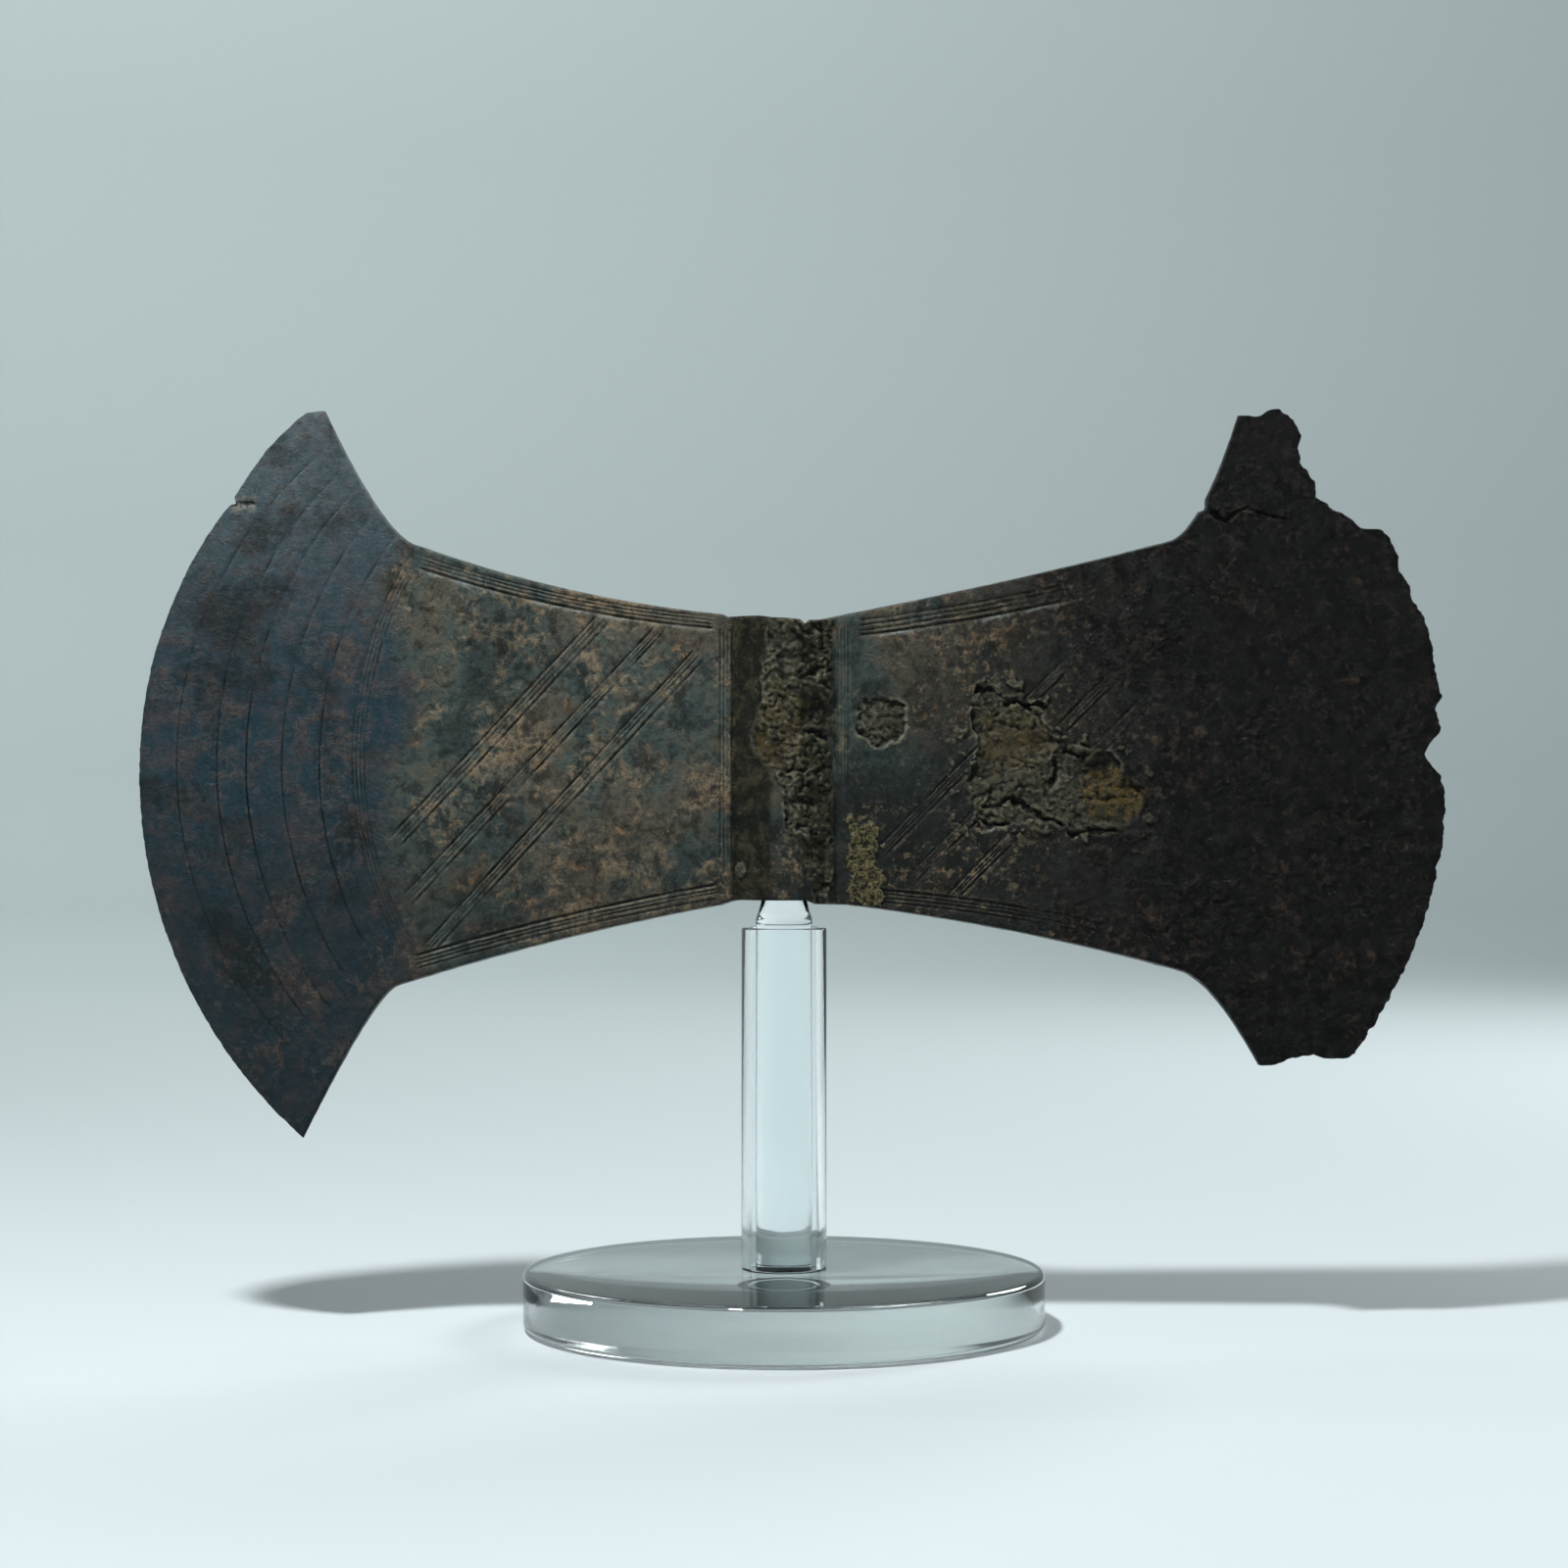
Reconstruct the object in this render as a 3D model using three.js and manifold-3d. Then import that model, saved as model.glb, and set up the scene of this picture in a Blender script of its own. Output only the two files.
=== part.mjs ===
// A cast bronze double axe head, held up by a clear acrylic rod in a clear acrylic tube on a disc foot.
// Millimetres, +Z up, the head's best-kept face towards -Y, the whole blade on the left (-X).
// The origin is the middle of the foot's underside, on the axis of the rod and of the shaft hole.
import * as THREE from "three";
import { mergeVertices } from "three/addons/utils/BufferGeometryUtils.js";
import Module from "manifold-3d";

// Stand
const footRadius = 55;
const footThickness = 12;
const footBevel = 1.2;
const tubeOuterRadius = 9;
const tubeBoreRadius = 7;
const tubeTop = 84;
const rodRadius = 6;
const rodTaperStart = 86;
const rodTipRadius = 3.7;
const rodTop = 93.2;
const roundSegments = 48;

// Head: the socket's middle is this far above the foot's underside
const headHeight = 119.8;

// Socket: three upright facets on each face, middle facet flat, side facets falling away to the plate
const socketHalfHeight = 29.6;
const socketMidFacet = 3.1;
const socketHalfWidth = 11.1;
const socketHalfDepth = 12;
const plateRoot = 13;

// Shaft hole, tapered, narrow end down
const holeRadiusBottom = 5.2;
const holeRadiusTop = 6.8;
const holeOverrun = 2;

// Plate's half thickness against the distance in from the unworn cutting edge, measured level
const halfThickness = [
  [0, 0.5],
  [6, 1.0],
  [20, 1.9],
  [50, 3.4],
  [80, 5.2],
  [110, 6.6],
];

// How many columns run from the socket to the horn's foot, then up the horn, and rows from bottom to top
const bodyColumns = 7;
const hornColumns = 6;
const rows = 34;
// How late the columns take up the curve of the cutting edge
const bulgePower = 1.6;

// Each blade, measured outwards from the socket. The top and bottom edges leave the socket at rootZ, spread
// by slope and bend, and turn at the horn's foot into a curve to the tip. The cutting edge is an arc worn
// back by losses (degrees above level, half width in degrees, depth). A tip ends flat where it is cut.
const wholeBlade = {
  side: -1,
  top: { up: 1, rootZ: 30.0, slope: 0.097, bend: 0.002, footX: 78, pull: [84.9, 47.3], tip: [96.8, 73.1] },
  bottom: {
    up: -1,
    rootZ: 30.7,
    slope: 0.183,
    bend: 0.001,
    footX: 82,
    pull: [87.4, 51.2],
    tip: [101.8, 80.6],
  },
  edge: {
    centre: [33.5, -3.4],
    radius: 102.6,
    losses: [{ at: 33, halfWidth: 14, depth: 1.4 }],
  },
};
const wornBlade = {
  side: 1,
  top: { up: 1, rootZ: 30.0, slope: 0.194, bend: 0.0005, footX: 82, pull: [88.9, 49.1], tip: [96.6, 73.1] },
  bottom: {
    up: -1,
    rootZ: 30.7,
    slope: 0.12,
    bend: 0.0011,
    footX: 84,
    pull: [90.9, 47.6],
    tip: [100.1, 64.4],
  },
  edge: {
    centre: [37.9, -2.3],
    radius: 102.4,
    losses: [
      { at: 37.5, halfWidth: 9, depth: 8.3 },
      { at: 2, halfWidth: 4, depth: 5.4 },
      { at: 12, halfWidth: 4, depth: 0.9 },
    ],
  },
};

const wasm = await Module();
wasm.setup();

const bronze = new THREE.MeshStandardMaterial({ color: 0x3c3a36, roughness: 0.6, metalness: 0.6 });
const acrylic = new THREE.MeshStandardMaterial({
  color: 0xdfe8ec,
  roughness: 0.05,
  metalness: 0,
  transparent: true,
  opacity: 0.3,
});

function lerp(a, b, t) {
  return a + (b - a) * t;
}

// Straight-line reading of a table of [x, y] pairs, held at its ends.
function readTable(table, x) {
  if (x <= table[0][0]) return table[0][1];
  for (let i = 1; i < table.length; i++) {
    const [x0, y0] = table[i - 1];
    const [x1, y1] = table[i];
    if (x <= x1) return lerp(y0, y1, (x - x0) / (x1 - x0));
  }
  return table[table.length - 1][1];
}

// Long edge of a blade at one of its columns: [outwards, up] in the head's own frame.
function longEdge(shape, column) {
  const along = (x) => shape.rootZ + shape.slope * (x - plateRoot) + shape.bend * (x - plateRoot) ** 2;
  if (column <= bodyColumns) {
    const x = lerp(plateRoot, shape.footX, column / bodyColumns);
    return [x, shape.up * along(x)];
  }
  const t = (column - bodyColumns) / hornColumns;
  const ends = [[shape.footX, along(shape.footX)], shape.pull, shape.tip];
  const weights = [(1 - t) ** 2, 2 * t * (1 - t), t ** 2];
  const x = ends.reduce((sum, p, i) => sum + weights[i] * p[0], 0);
  const z = ends.reduce((sum, p, i) => sum + weights[i] * p[1], 0);
  return [x, shape.up * z];
}

// Cutting edge at share v of its sweep from the bottom tip to the top tip.
function cuttingEdge(blade, v) {
  const [cx, cz] = blade.edge.centre;
  const low = Math.atan2(-blade.bottom.tip[1] - cz, blade.bottom.tip[0] - cx);
  const high = Math.atan2(blade.top.tip[1] - cz, blade.top.tip[0] - cx);
  const angle = lerp(low, high, v);
  let radius = blade.edge.radius;
  for (const loss of blade.edge.losses) {
    const off = Math.abs((angle * 180) / Math.PI - loss.at) / loss.halfWidth;
    if (off < 1) radius -= loss.depth * Math.cos((off * Math.PI) / 2) ** 2;
  }
  const rise = Math.sin(angle);
  const ceiling = (blade.top.tip[1] - cz) / rise;
  const floor = (-blade.bottom.tip[1] - cz) / rise;
  const reach = Math.min(radius, rise > 0.3 ? ceiling : radius, rise < -0.3 ? floor : radius);
  return [cx + reach * Math.cos(angle), cz + reach * Math.sin(angle)];
}

// Distance from the unworn cutting edge to a point, measured level. It is the same along any copy of the
// edge's arc moved inwards, so the plate thins evenly towards the whole edge.
function levelInset(blade, x, z) {
  const { centre, radius } = blade.edge;
  const hollow = radius - Math.sqrt(radius ** 2 - (z - centre[1]) ** 2);
  return Math.max(0, centre[0] + radius - hollow - x);
}

// A blade as columns of [x, z, half thickness]: each column is blended from the four sides of its outline.
function bladeColumns(blade) {
  const count = bodyColumns + hornColumns;
  const columns = [];
  const ends = [longEdge(blade.bottom, count), longEdge(blade.top, count)];
  for (let c = 1; c <= count; c++) {
    const low = longEdge(blade.bottom, c);
    const high = longEdge(blade.top, c);
    const column = [];
    for (let r = 0; r <= rows; r++) {
      const v = r / rows;
      const edge = cuttingEdge(blade, v);
      const spread = r === 0 || r === rows ? 0 : Math.pow(c / count, bulgePower);
      const [x, z] = [0, 1].map((k) => {
        const straight = lerp(low[k], high[k], v);
        return straight + spread * (edge[k] - lerp(ends[0][k], ends[1][k], v));
      });
      column.push([blade.side * x, z, readTable(halfThickness, levelInset(blade, x, z))]);
    }
    columns.push(column);
  }
  return columns;
}

// The socket's upright columns, from the left plate to the right plate.
function socketColumns() {
  const plate = readTable(halfThickness, 110);
  const stations = [
    [-plateRoot, plate, wholeBlade],
    [-socketHalfWidth, plate, null],
    [-socketMidFacet, socketHalfDepth, null],
    [socketMidFacet, socketHalfDepth, null],
    [socketHalfWidth, plate, null],
    [plateRoot, plate, wornBlade],
  ];
  return stations.map(([x, half, blade]) => {
    const top = blade ? blade.top.rootZ : socketHalfHeight;
    const bottom = blade ? blade.bottom.rootZ : socketHalfHeight;
    return Array.from({ length: rows + 1 }, (_, r) => [x, lerp(-bottom, top, r / rows), half]);
  });
}

// A closed body from columns of [x, z, half thickness]: a front at -Y, a back at +Y and a wall all round.
function plateGeometry(columns) {
  const positions = [];
  const faces = [];
  const high = rows + 1;
  for (const y of [-1, 1])
    for (const column of columns) for (const [x, z, half] of column) positions.push(x, y * half, z);
  const at = (back, c, r) => back * columns.length * high + c * high + r;
  const quad = (a, b, c, d) => faces.push(a, b, c, a, c, d);
  const last = columns.length - 1;
  for (let c = 0; c < last; c++) {
    for (let r = 0; r < rows; r++) {
      quad(at(0, c, r), at(0, c + 1, r), at(0, c + 1, r + 1), at(0, c, r + 1));
      quad(at(1, c, r), at(1, c, r + 1), at(1, c + 1, r + 1), at(1, c + 1, r));
    }
    quad(at(0, c, 0), at(1, c, 0), at(1, c + 1, 0), at(0, c + 1, 0));
    quad(at(0, c, rows), at(0, c + 1, rows), at(1, c + 1, rows), at(1, c, rows));
  }
  for (let r = 0; r < rows; r++) {
    quad(at(0, 0, r), at(0, 0, r + 1), at(1, 0, r + 1), at(1, 0, r));
    quad(at(0, last, r), at(1, last, r), at(1, last, r + 1), at(0, last, r + 1));
  }
  const geometry = new THREE.BufferGeometry();
  geometry.setAttribute("position", new THREE.Float32BufferAttribute(positions, 3));
  geometry.setIndex(faces);
  return geometry;
}

function toSolid(geometry) {
  const bare = geometry.clone();
  bare.deleteAttribute("normal");
  bare.deleteAttribute("uv");
  const merged = mergeVertices(bare, 1e-4);
  return new wasm.Manifold(
    new wasm.Mesh({
      numProp: 3,
      vertProperties: merged.attributes.position.array,
      triVerts: new Uint32Array(merged.index.array),
    }),
  );
}

function toGeometry(solid) {
  const mesh = solid.getMesh();
  const geometry = new THREE.BufferGeometry();
  geometry.setAttribute("position", new THREE.BufferAttribute(mesh.vertProperties, 3));
  geometry.setIndex(new THREE.BufferAttribute(mesh.triVerts, 1));
  return geometry;
}

// A round body about Z from a profile of [radius, z].
function turned(profile) {
  return new THREE.LatheGeometry(
    profile.map(([r, z]) => new THREE.Vector2(r, z)),
    roundSegments,
  ).rotateX(Math.PI / 2);
}

function axeHead() {
  const left = bladeColumns(wholeBlade).reverse();
  const right = bladeColumns(wornBlade);
  const plate = toSolid(plateGeometry([...left, ...socketColumns(), ...right]));
  const reach = socketHalfHeight + holeOverrun;
  const grow = (holeRadiusTop - holeRadiusBottom) / (2 * socketHalfHeight);
  const bore = new THREE.CylinderGeometry(
    holeRadiusTop + grow * holeOverrun,
    holeRadiusBottom - grow * holeOverrun,
    2 * reach,
    roundSegments,
  ).rotateX(Math.PI / 2);
  const mesh = new THREE.Mesh(toGeometry(plate.subtract(toSolid(bore))), bronze);
  mesh.name = "axe_head";
  mesh.position.z = headHeight;
  return mesh;
}

function standFoot() {
  const profile = [
    [0, 0],
    [footRadius - footBevel, 0],
    [footRadius, footBevel],
    [footRadius, footThickness - footBevel],
    [footRadius - footBevel, footThickness],
    [0, footThickness],
  ];
  const mesh = new THREE.Mesh(turned(profile), acrylic);
  mesh.name = "stand_foot";
  return mesh;
}

function standTube() {
  const profile = [
    [tubeBoreRadius, footThickness],
    [tubeOuterRadius, footThickness],
    [tubeOuterRadius, tubeTop],
    [tubeBoreRadius, tubeTop],
    [tubeBoreRadius, footThickness],
  ];
  const mesh = new THREE.Mesh(turned(profile), acrylic);
  mesh.name = "stand_tube";
  return mesh;
}

function standRod() {
  const profile = [
    [0, footThickness],
    [rodRadius, footThickness],
    [rodRadius, rodTaperStart],
    [rodTipRadius, rodTop],
    [0, rodTop],
  ];
  const mesh = new THREE.Mesh(turned(profile), acrylic);
  mesh.name = "stand_rod";
  return mesh;
}

const group = new THREE.Group();
group.add(axeHead(), standTube(), standRod(), standFoot());
export default group;
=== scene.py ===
import math

import bmesh
import bpy
import numpy as np
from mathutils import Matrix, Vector


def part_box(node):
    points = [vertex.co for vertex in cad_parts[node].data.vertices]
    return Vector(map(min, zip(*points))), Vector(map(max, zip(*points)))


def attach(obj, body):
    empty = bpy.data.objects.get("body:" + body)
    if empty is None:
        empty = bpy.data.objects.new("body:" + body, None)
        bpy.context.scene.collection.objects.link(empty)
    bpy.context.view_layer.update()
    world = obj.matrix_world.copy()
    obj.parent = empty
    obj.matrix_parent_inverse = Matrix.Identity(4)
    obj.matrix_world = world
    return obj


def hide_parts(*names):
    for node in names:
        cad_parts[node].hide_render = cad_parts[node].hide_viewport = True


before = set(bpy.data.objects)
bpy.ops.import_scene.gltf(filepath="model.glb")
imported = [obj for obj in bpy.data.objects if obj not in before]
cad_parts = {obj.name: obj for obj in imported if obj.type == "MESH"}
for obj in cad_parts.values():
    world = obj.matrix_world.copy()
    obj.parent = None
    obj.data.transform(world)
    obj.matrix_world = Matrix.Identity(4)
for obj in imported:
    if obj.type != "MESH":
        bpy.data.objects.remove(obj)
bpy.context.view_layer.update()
mm = 0.001

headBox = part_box("axe_head")
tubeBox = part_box("stand_tube")
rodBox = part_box("stand_rod")
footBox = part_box("stand_foot")
print("frame loaded, head box", [round(v, 4) for corner in headBox for v in corner])


# lengths inside the head's functions are in millimetres
def ease(low, high, value):
    # 0 below low, 1 above high, an S curve between; low may be above high
    t = np.clip((value - low) / (high - low), 0, 1)
    return t * t * (3 - 2 * t)


def latticeNoise(x, z, seed):
    # random slopes at whole-number points blended between them with an S curve, about -1 to 1
    angles = np.random.default_rng(seed).uniform(0, 2 * np.pi, (256, 256))
    slopeX, slopeZ = np.cos(angles), np.sin(angles)
    ix, iz = np.floor(x).astype(np.int64), np.floor(z).astype(np.int64)
    fx, fz = x - ix, z - iz

    def corner(a, b):
        at = ((ix + a) & 255, (iz + b) & 255)
        return slopeX[at] * (fx - a) + slopeZ[at] * (fz - b)

    u = fx ** 3 * (fx * (fx * 6 - 15) + 10)
    v = fz ** 3 * (fz * (fz * 6 - 15) + 10)
    low = corner(0, 0) * (1 - u) + corner(1, 0) * u
    high = corner(0, 1) * (1 - u) + corner(1, 1) * u
    return 1.5 * (low * (1 - v) + high * v)


def noise(x, z, size, octaves, seed, keep=0.5):
    # lattice noise summed over octaves, each half the size and keep times the strength of the last
    total, strength, whole = 0, 1.0, 0.0
    for k in range(octaves):
        scale = 2 ** k / size
        total = total + strength * latticeNoise(x * scale + 17.3 * k, z * scale - 9.1 * k, seed + k)
        whole += strength
        strength *= keep
    return total / whole


def flakes(x, z, size, layers, seed):
    # noise cut into flat layers with steep steps between them, as metal split in sheets, about -1 to 1
    warpX = x + 0.35 * size * noise(x, z, size * 0.6, 3, seed + 40)
    warpZ = z + 0.35 * size * noise(x, z, size * 0.6, 3, seed + 50)
    value = noise(warpX, warpZ, size, 4, seed) * layers
    floor = np.floor(value)
    return (floor + ease(0.55, 0.95, value - floor)) / layers


def pebbles(x, z, size, seed):
    # rounded lumps: closeness to the nearest of one scattered point a square, 0 between lumps to 1 on top
    px, pz = x / size, z / size
    ix, iz = np.floor(px).astype(np.int64), np.floor(pz).astype(np.int64)
    shift = np.random.default_rng(seed).uniform(0.1, 0.9, (2, 256, 256))
    nearest = np.full(np.shape(x), 9.0)
    for a in (-1, 0, 1):
        for b in (-1, 0, 1):
            at = ((ix + a) & 255, (iz + b) & 255)
            away = (px - ix - a - shift[0][at]) ** 2 + (pz - iz - b - shift[1][at]) ** 2
            nearest = np.minimum(nearest, away)
    return np.clip(1 - nearest, 0, 1)


def crumbled(x, z, seed):
    # eaten metal: warped lumps of three sizes with sharp creases between them, about -1 to 1
    warpX = x + 1.6 * noise(x, z, 5.0, 3, seed)
    warpZ = z + 1.6 * noise(x, z, 5.0, 3, seed + 5)
    broad = noise(warpX, warpZ, 9.0, 3, seed + 10)
    crease = 1 - 2 * np.abs(noise(warpX, warpZ * 1.3, 5.0, 4, seed + 15))
    coarse = pebbles(warpX, warpZ * 1.3, 3.9, seed + 20)
    fine = pebbles(warpX * 1.1, warpZ * 1.5, 1.5, seed + 25)
    grain = noise(x, z, 0.9, 2, seed + 30)
    uneven = 0.85 + 0.9 * noise(x, z, 7.0, 2, seed + 35)
    lumps = 0.55 * crease + (coarse - 0.6) + 0.55 * (fine - 0.6) + 0.25 * grain
    return 0.55 * broad + uneven * lumps


def alongAndAcross(x, z, start, end):
    # place along a line from start to end, as a length, and signed distance from it
    run = np.subtract(end, start)
    length = math.hypot(*run)
    ux, uz = run / length
    return (x - start[0]) * ux + (z - start[1]) * uz, (z - start[1]) * ux - (x - start[0]) * uz, length


def pathDistance(x, z, points):
    # shortest distance to a path of straight stretches
    best = np.full(np.shape(x), 1e9)
    for (ax, az), (bx, bz) in zip(points, points[1:]):
        dx, dz = bx - ax, bz - az
        t = np.clip(((x - ax) * dx + (z - az) * dz) / (dx * dx + dz * dz), 0, 1)
        best = np.minimum(best, np.hypot(x - ax - t * dx, z - az - t * dz))
    return best


def patchInset(x, z, points):
    # signed distance to a closed outline, positive inside
    inside = np.zeros(np.shape(x), bool)
    for (ax, az), (bx, bz) in zip(points, points[1:] + points[:1]):
        crosses = (az > z) != (bz > z)
        inside ^= crosses & (x < (bx - ax) * (z - az) / ((bz - az) or 1e-9) + ax)
    away = pathDistance(x, z, points + points[:1])
    return np.where(inside, away, -away)


# each blade, in millimetres outwards and upwards from the socket's middle
wholeBlade = {
    "side": -1,
    "top": {
        "root": 30.0, "slope": 0.097, "bend": 0.002, "foot": 78, "pull": (84.9, 47.3), "tip": (96.8, 73.1),
    },
    "bottom": {
        "root": 30.7, "slope": 0.183, "bend": 0.001, "foot": 82, "pull": (87.4, 51.2), "tip": (101.8, 80.6),
    },
    "centre": (33.5, -3.4),
    "radius": 102.6,
    # (degrees above level, metal lost from the arc)
    "losses": [
        (-46.5, 0), (14, 0), (20, 0.4), (26, 0.7), (33.0, 1.4), (34.2, 1.7), (34.8, 2.6), (35.3, 1.5),
        (38, 1.2), (42, 0.6), (46, 0.6), (48.6, 0.9), (50.4, 3.2),
    ],
    "raggedness": 0.10,
}
wornBlade = {
    "side": 1,
    "top": {
        "root": 30.0, "slope": 0.194, "bend": 0.0005, "foot": 82, "pull": (88.9, 49.1), "tip": (96.2, 72.6),
    },
    "bottom": {
        "root": 30.7, "slope": 0.12, "bend": 0.0011, "foot": 84, "pull": (90.9, 47.6), "tip": (100.1, 64.6),
    },
    "centre": (37.9, -2.3),
    "radius": 102.6,
    "losses": [
        (-45.1, 14.4), (-43.4, 11.8), (-42.3, 11.3), (-40.2, 9.0), (-39.2, 7.4), (-38.8, 5.0),
        (-37.0, 1.2), (-35.9, 0.4), (-27.8, 0.5), (-22.4, 0.3), (-14, 0.2), (-8, 0.2), (-2.7, 0.9),
        (-0.8, 1.8), (0.3, 3.7), (1.8, 5.4), (3.1, 3.9), (4.2, 2.0), (5.0, 1.4), (7.2, 2.2), (8.6, 0.5),
        (11.9, 0.9), (15.5, 0.1), (18.9, 0.4), (20.4, 1.4), (22.5, 1.0), (25.0, 1.4), (26.0, 0.4),
        (28.4, 0.2), (30.0, 1.3), (31.0, 4.2), (33.3, 5.7), (35.5, 7.5), (37.8, 8.8), (39.2, 7.0),
        (41.9, 6.6), (43.9, 4.9), (44.6, 2.4), (46.7, 1.2),
        (48.7, 1.6), (49.6, 3.2), (49.9, 5.6), (52.1, 8.2),
    ],
    "raggedness": 0.34,
}
head = {
    "plateRoot": 13.0,
    "socketHalfWidth": 11.1,
    "midFacet": 3.1,
    "socketHalfDepth": 12.0,
    "socketTop": [
        (-13, 30.0), (-11.8, 29.4), (-9, 29.6), (-5.1, 29.6), (-2.4, 29.2), (0.7, 29.1), (3.4, 28.8),
        (4.4, 27.9), (5.3, 28.7), (7.4, 28.8), (10, 29.3), (13, 30.0),
    ],
    "socketBottom": [
        (-13, 30.7), (-11, 30.0), (-9.4, 29.7), (4.8, 29.7), (6.5, 30.5), (11.7, 30.7), (13, 30.7),
    ],
    # (distance in from the unworn cutting edge, half thickness)
    "thickness": [(0, 0.34), (3, 0.7), (8, 1.15), (20, 1.9), (50, 3.4), (80, 5.2), (110, 6.6)],
    "arris": 0.5,  # rounding of the long edges
    "holeBottom": 5.2,
    "holeTop": 6.8,
    "holeFlare": 0.7,
    # the hole's heights, from below one mouth to above the other, and its share of the flare at each
    "holeMouths": [
        (-31.5, 1.6), (-29.7, 1), (-29, 0.35), (-28, 0), (27.6, 0), (28.6, 0.35), (29.3, 1), (31.5, 2.2),
    ],
    "socketHalfHeight": 29.6,
    "holeSegments": 96,
    "bladeColumns": 560,
    "socketColumns": 120,
    "rows": 430,
    "wallColumns": 16,
    "bodyShare": 0.62,
    "bulgePower": 1.6,
    "triangles": 188000,
}
socketMid = headBox[0][2] + wholeBlade["bottom"]["tip"][1] * mm


def longEdge(edge, u):
    # up a gentle curve from the socket to the horn's foot, then a three-point curve to the tip
    share, root = head["bodyShare"], head["plateRoot"]
    reach = lambda x: edge["root"] + edge["slope"] * (x - root) + edge["bend"] * (x - root) ** 2
    bodyX = root + (edge["foot"] - root) * np.clip(u / share, 0, 1)
    t = np.clip((u - share) / (1 - share), 0, 1)
    ends = [(edge["foot"], reach(edge["foot"])), edge["pull"], edge["tip"]]
    weights = [(1 - t) ** 2, 2 * t * (1 - t), t ** 2]
    x = np.where(u < share, bodyX, sum(w * p[0] for w, p in zip(weights, ends)))
    z = np.where(u < share, reach(bodyX), sum(w * p[1] for w, p in zip(weights, ends)))
    return x, z


def cuttingEdge(blade, v, ragged):
    # an arc about the blade's centre, set in by its losses and by a fine ragged noise
    (cx, cz), (tipX, tipZ), (lowX, lowZ) = blade["centre"], blade["top"]["tip"], blade["bottom"]["tip"]
    angle = np.arctan2(-lowZ - cz, lowX - cx) * (1 - v) + np.arctan2(tipZ - cz, tipX - cx) * v
    loss = np.interp(np.degrees(angle), *zip(*blade["losses"]))
    seed = 5 + blade["side"]
    way = np.degrees(angle) * 1.79
    rough = noise(way, 0 * way + 3, 3.2, 4, seed, 0.6)
    rough = rough - 0.5 * np.abs(noise(way, 0 * way, 1.7, 2, seed + 9))
    ends = ease(0, 0.02, v) * ease(1, 0.98, v)
    radius = blade["radius"] - loss + ragged * blade["raggedness"] * 2.4 * rough * ends
    return cx + radius * np.cos(angle), cz + radius * np.sin(angle)


def bladeGrid(blade, columns, rows):
    # blends the outline's sides: straight columns between the long edges, bulged towards the cutting edge
    u, v = np.meshgrid(np.linspace(0, 1, columns + 1), np.linspace(0, 1, rows + 1), indexing="ij")
    (lowX, lowZ), (highX, highZ) = longEdge(blade["bottom"], u), longEdge(blade["top"], u)
    (tipLowX, tipLowZ), (tipHighX, tipHighZ) = (longEdge(blade[k], np.ones(1)) for k in ("bottom", "top"))
    chordX, chordZ = tipLowX * (1 - v) + tipHighX * v, -tipLowZ * (1 - v) + tipHighZ * v
    smoothX, smoothZ = cuttingEdge(blade, v[:1], 0)
    roughX, roughZ = cuttingEdge(blade, v[:1], 1)
    bulge, fine = u ** head["bulgePower"], u ** 14
    x = lowX * (1 - v) + highX * v + bulge * (smoothX - chordX) + fine * (roughX - smoothX)
    z = -lowZ * (1 - v) + highZ * v + bulge * (smoothZ - chordZ) + fine * (roughZ - smoothZ)
    if blade is wornBlade:
        px, pz, reach, depth = decay["mouth"]
        pull = depth * ease(reach, 0.1 * reach, np.hypot(x - px, z - pz))
        x, z = x + 0.75 * pull, z - 0.66 * pull
    return blade["side"] * x, z


def headGrid():
    # both blades and the socket as one sheet: left cutting edge to right cutting edge, bottom to top
    columns, rows = head["bladeColumns"], head["rows"]
    leftX, leftZ = bladeGrid(wholeBlade, columns, rows)
    rightX, rightZ = bladeGrid(wornBlade, columns, rows)
    root = head["plateRoot"]
    across = np.linspace(-root, root, head["socketColumns"] + 1)
    x, v = np.meshgrid(across, np.linspace(0, 1, rows + 1), indexing="ij")
    top = np.interp(x, *zip(*head["socketTop"]))
    bottom = -np.interp(x, *zip(*head["socketBottom"]))
    z = bottom * (1 - v) + top * v
    return np.vstack([leftX[::-1], x[1:-1], rightX]), np.vstack([leftZ[::-1], z[1:-1], rightZ])


def halfThickness(x, z):
    # plate thinning evenly towards each unworn cutting edge, with the faceted socket standing out of it
    inset = []
    for blade in (wholeBlade, wornBlade):
        (cx, cz), radius = blade["centre"], blade["radius"]
        hollow = radius - np.sqrt(np.maximum(radius ** 2 - (z - cz) ** 2, 1))
        inset.append(cx + radius - hollow - np.abs(x))
    across = ease(-2, 2, x)
    plate = np.interp(inset[0] * (1 - across) + inset[1] * across, *zip(*head["thickness"]))
    depth, width = head["socketHalfDepth"], head["socketHalfWidth"]
    thickest = head["thickness"][-1][1]
    facets = [(0, depth), (head["midFacet"], depth), (width, thickest), (width + 1.5, 0)]
    socket = sum(np.interp(np.abs(x + d), *zip(*facets)) for d in (-0.5, 0, 0.5)) / 3
    return np.maximum(plate, socket)


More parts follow.
